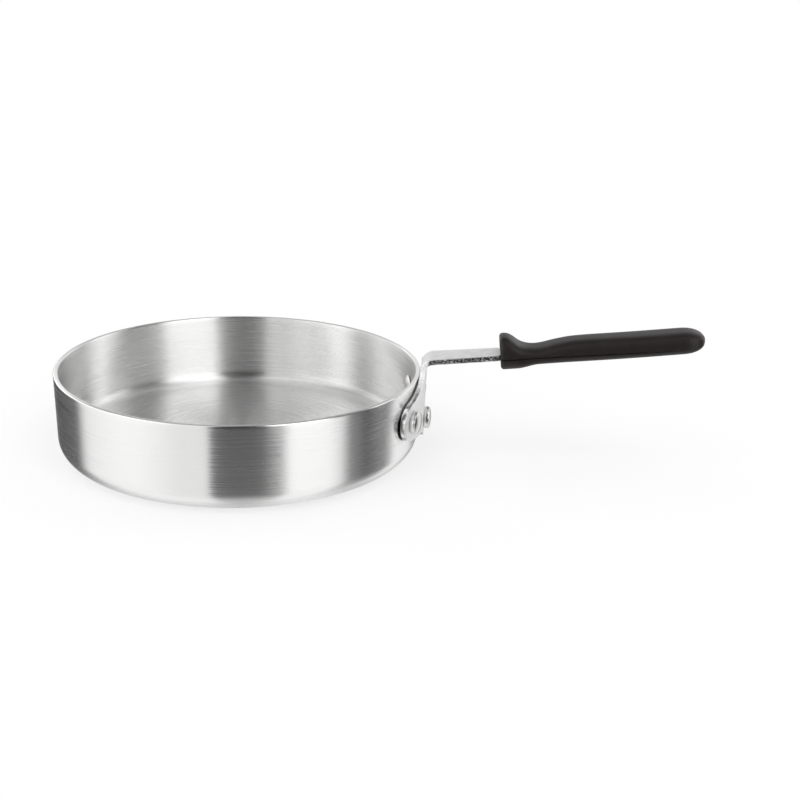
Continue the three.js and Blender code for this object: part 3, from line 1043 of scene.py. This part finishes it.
class SAUTE_OT_rivets(bpy.types.Operator):
    """Turn one rivet, and copy it to the other two places"""

    bl_idname = "saute_pan.rivets"
    bl_label = "Rivets"

    def execute(self, context):
        settings = context.scene.saute_pan
        pan, rivets = settings.pan, settings.rivets
        first, *others = rivet_places(pan, rivets)
        model = draw_line(first.name, rivet_profile(settings, first.height))
        spin_line((0, 0, first.height), (1, 0, 0), rivets.segments)
        smooth(model, limit=35)
        model.data.materials.append(rivet_aluminium(settings.finish, pan))
        for rivet in others:
            take_up(model)
            bpy.ops.object.duplicate(linked=False)
            piece = context.object
            piece.name = rivet.name
            piece.data.name = rivet.name
            bpy.ops.object.mode_set(mode="EDIT")
            pick_all()
            out = pan.wall_radius(rivet.height) - pan.wall_radius(first.height)
            bpy.ops.transform.translate(value=(out, 0, rivet.height - first.height))
            turn(rivet.turn, "Z", (0, 0, 0))
            put_down()
            fit_out(piece, "pan", rivet.node)
        fit_out(model, "pan", first.node)
        return {"FINISHED"}


class SAUTE_OT_grip(bpy.types.Operator):
    """Loft the rubber grip, press its seam and cut the slot for the tang"""

    bl_idname = "saute_pan.grip"
    bl_label = "Rubber Grip"

    def execute(self, context):
        settings = context.scene.saute_pan
        grip, bracket, fit = settings.grip, settings.bracket, settings.rivets.fit
        piece = loft_grip(grip)
        press_seam(piece, grip)
        close_front(piece)
        put_down()
        bpy.ops.mesh.primitive_cube_add(size=1, scale=(
            2 * (bracket.tang_length + 2 * fit),
            2 * (bracket.tang_half + fit),
            bracket.strip + 2 * fit,
        ))
        cut_away(piece, context.object)
        take_up(piece)
        bpy.ops.object.mode_set(mode="EDIT")
        pick_all()
        turn(-bracket.strap_rise, "Y", (0, 0, 0))
        bpy.ops.transform.translate(value=place_grip(settings))
        put_down()
        smooth(piece, limit=35)
        piece.data.materials.append(black_rubber(settings.finish, bracket.strap_rise))
        fit_out(piece, "grip", "grip_sleeve")
        return {"FINISHED"}


# Stage


class Light(NamedTuple):
    """A light panel: middle and width as seen from above, edge softness, and the level that it adds."""

    middle: float
    width: float
    soft: float
    level: float


# Degrees round the pan from the handle's direction, anticlockwise. The outside of the pan mirrors
# the low panels, the inside of its wall the high ones, and its inner corner the top ones. Levels
# add up on that of the gaps, and a level below nought dims a gap.
GAP_LEVEL = 0.025
LOW_PANELS = (
    Light(216.1, 92.2, 1.5, 0.77),
    Light(196, 52, 8, 0.085),
    Light(203, 66, 8, 0.048),
    Light(-31.6, 40.2, 5, 0.86),
    Light(-17.5, 12, 4, 0.16),
    Light(-5, 11, 5, 0.16),
    Light(45.2, 31.6, 4, 0.88),
    Light(91, 62, 8, 0.26),
    Light(-83, 30, 4, -0.015),
)
HIGH_PANELS = (
    Light(-42.8, 38, 4, 2.3),
    Light(23, 28, 9, 2.0),
    Light(55, 40, 10, 0.53),
    Light(82, 70, 12, 0.78),
    Light(-169.5, 148, 2, 0.99),
    Light(165, 80, 15, 0.58),
    Light(-142, 38, 12, 0.95),
    Light(-83, 30, 4, -0.02),
)
TOP_PANELS = (
    Light(-37.5, 45, 5, 1.5),
    Light(0, 40, 10, 0.18),
    Light(46, 40, 10, 0.64),
    Light(96, 44, 12, 0.09),
    Light(142, 75, 12, 0.26),
    Light(156, 20, 8, 0.14),
    Light(225, 74, 6, 0.80),
)

# Levels straight above and below, and how much of the lower one shows
OVERHEAD = 0.42
FLOOR_LIGHT = 1.1
FLOOR_SHARE = 0.6

# Upward part of a direction where one set of panels starts and ends giving way to the next
LOW_TO_HIGH = (-0.05, 0.10)
HIGH_TO_TOP = (0.35, 0.60)
TOP_TO_OVERHEAD = (0.93, 1.0)
LOW_TO_FLOOR = (-0.30, -1.0)

FLOOR_SIZE = 60
SUN_PLACE = (0, 0, 2)
SUN_SPREAD = radians(100)
SENSOR_WIDTH = 36


def studio_world(stage):
    """Soft panels round the pan with dark gaps between them, which the metal mirrors as upright bands."""
    graph = Graph(bpy.data.worlds.new("studio"))
    x, y, z = graph.split(graph.node("ShaderNodeTexCoord")["Generated"])
    heading = graph.math("ARCTAN2", y, x)

    def lit_by(panels):
        """Brightness round the pan from a set of panels."""
        level = GAP_LEVEL
        for panel in panels:
            offset = graph.math("WRAP", heading - radians(panel.middle), pi, -pi)
            away = graph.math("ABSOLUTE", offset)
            half, soft = radians(panel.width / 2), radians(panel.soft)
            level = graph.ramp(away, half + soft, half - soft) * panel.level + level
        return level

    def between(part, first, second):
        """A number between two numbers."""
        return first * (1 - part) + second * part

    level = between(graph.ramp(z, *LOW_TO_HIGH), lit_by(LOW_PANELS), lit_by(HIGH_PANELS))
    level = between(graph.ramp(z, *HIGH_TO_TOP), level, lit_by(TOP_PANELS))
    level = between(graph.ramp(z, *TOP_TO_OVERHEAD), level, OVERHEAD)
    level = between(graph.ramp(z, *LOW_TO_FLOOR) * FLOOR_SHARE, level, FLOOR_LIGHT)
    lit = graph.node("ShaderNodeBackground", {"Color": WHITE, "Strength": level})
    backdrop = graph.node("ShaderNodeBackground", {"Color": WHITE, "Strength": stage.backdrop})
    seen = graph.node("ShaderNodeLightPath")["Is Camera Ray"]
    shown = graph.node("ShaderNodeMixShader", {0: seen, 1: lit, 2: backdrop})
    graph.node("ShaderNodeOutputWorld", {"Surface": shown})
    return graph.owner


def camera_view(stage):
    """Place and turn of the camera."""
    level = cos(stage.pitch)
    ahead = Vector((-sin(stage.yaw) * level, cos(stage.yaw) * level, -sin(stage.pitch)))
    right = Vector((cos(stage.yaw), sin(stage.yaw), 0))
    up = right.cross(ahead)
    right, up = (
        cos(stage.roll) * right + sin(stage.roll) * up,
        cos(stage.roll) * up - sin(stage.roll) * right,
    )
    place = Vector((stage.distance * sin(stage.around), -stage.distance * cos(stage.around), stage.height))
    view = Matrix((right, up, -ahead)).transposed().to_4x4()
    view.translation = place
    return view


class SAUTE_OT_stage(bpy.types.Operator):
    """Set the floor, the light and the camera"""

    bl_idname = "saute_pan.stage"
    bl_label = "Stage"

    def execute(self, context):
        scene = context.scene
        stage = scene.saute_pan.stage
        put_down()
        bpy.ops.mesh.primitive_plane_add(size=FLOOR_SIZE)
        floor = context.object
        floor.name = "floor"
        floor.data.materials.append(pale_floor(stage))
        floor.visible_glossy = False
        floor.visible_shadow = False

        bpy.ops.object.light_add(type="SUN", location=SUN_PLACE)
        sun = context.object
        sun.name = "top_light"
        sun.data.energy = stage.top_light
        sun.data.angle = SUN_SPREAD
        sun.visible_glossy = False

        bpy.ops.object.camera_add()
        camera = context.object
        camera.name = "camera"
        camera.data.sensor_width = SENSOR_WIDTH
        camera.data.lens = stage.lens
        camera.matrix_world = camera_view(stage)
        scene.camera = camera
        scene.world = studio_world(stage)
        scene.view_settings.view_transform = "Standard"
        return {"FINISHED"}


class SAUTE_PT_panel(bpy.types.Panel):
    """Lists the pan's settings and the operators that make it"""

    bl_label = "Saute Pan"
    bl_space_type = "VIEW_3D"
    bl_region_type = "UI"
    bl_category = "Saute Pan"

    def draw(self, context):
        settings = context.scene.saute_pan
        for name, operator in zip(("pan", "bracket", "rivets", "grip", "stage"), OPERATORS):
            box = self.layout.box()
            box.operator(operator.bl_idname)
            group = getattr(settings, name)
            for setting in group.__annotations__:
                box.prop(group, setting)
        colours = self.layout.box()
        for setting in settings.finish.__annotations__:
            colours.prop(settings.finish, setting)


OPERATORS = (SAUTE_OT_body, SAUTE_OT_bracket, SAUTE_OT_rivets, SAUTE_OT_grip, SAUTE_OT_stage)
GROUPS = (PanSizes, RivetSizes, BracketSizes, GripSizes, FinishColours, StageSettings, SautePan)
CLASSES = GROUPS + OPERATORS + (SAUTE_PT_panel,)


def register():
    for each in CLASSES:
        bpy.utils.register_class(each)
    bpy.types.Scene.saute_pan = PointerProperty(type=SautePan)


def unregister():
    del bpy.types.Scene.saute_pan
    for each in reversed(CLASSES):
        bpy.utils.unregister_class(each)


def main():
    register()
    bpy.ops.saute_pan.body()
    bpy.ops.saute_pan.bracket()
    bpy.ops.saute_pan.rivets()
    bpy.ops.saute_pan.grip()
    bpy.ops.saute_pan.stage()


if __name__ == "__main__":
    main()
